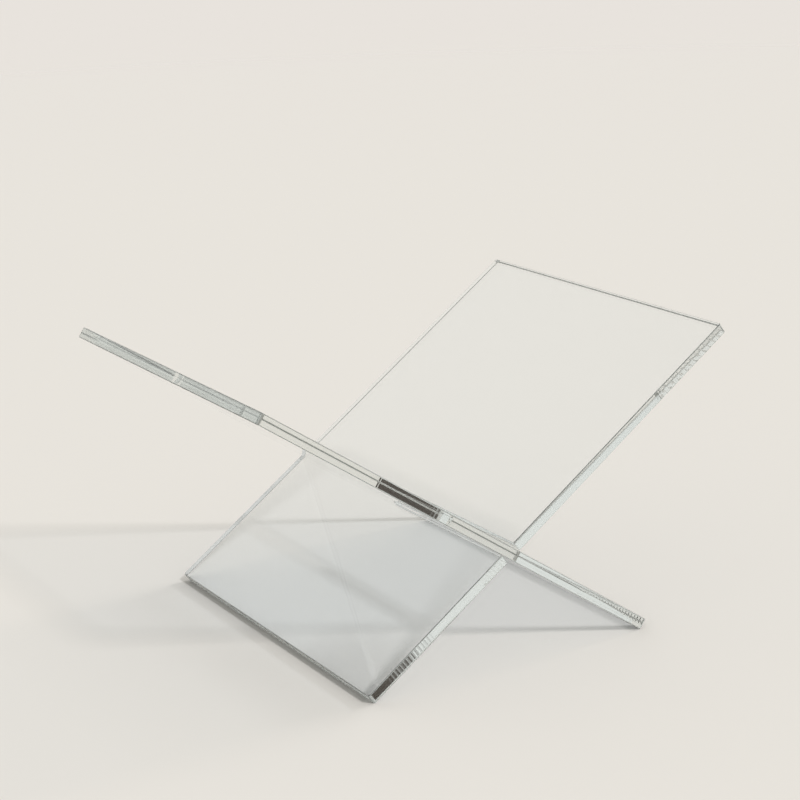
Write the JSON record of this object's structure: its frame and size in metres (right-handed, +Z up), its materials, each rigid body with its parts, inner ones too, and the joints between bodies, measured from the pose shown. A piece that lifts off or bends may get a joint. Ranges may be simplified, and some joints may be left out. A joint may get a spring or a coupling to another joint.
{
  "type": "photo album stand",
  "caption": "X-shaped stand of crossed clear acrylic sheets that interlock in half-depth slots and hold an album open in the upper V.",
  "frame": {"origin": "on the table, straight below the middle of the line where the two sheets cross", "axes": "+X to the right, across the V; +Y from the front edges to the rear edges, along the crossing line; +Z up"},
  "size_m": [0.3644, 0.28, 0.2096],
  "materials": {
    "clear_acrylic": "clear cast acrylic with polished faces and edges"
  },
  "bodies": {
    "left_sheet": {"left_wing_sheet": "clear_acrylic"},
    "right_sheet": {"right_wing_sheet": "clear_acrylic"}
  },
  "joints": [
    {"name": "slot_slide", "type": "slide", "parent": "left_sheet", "child": "right_sheet", "axis": [0, 1, 0], "range_m": [0, 0.14]}
  ]
}
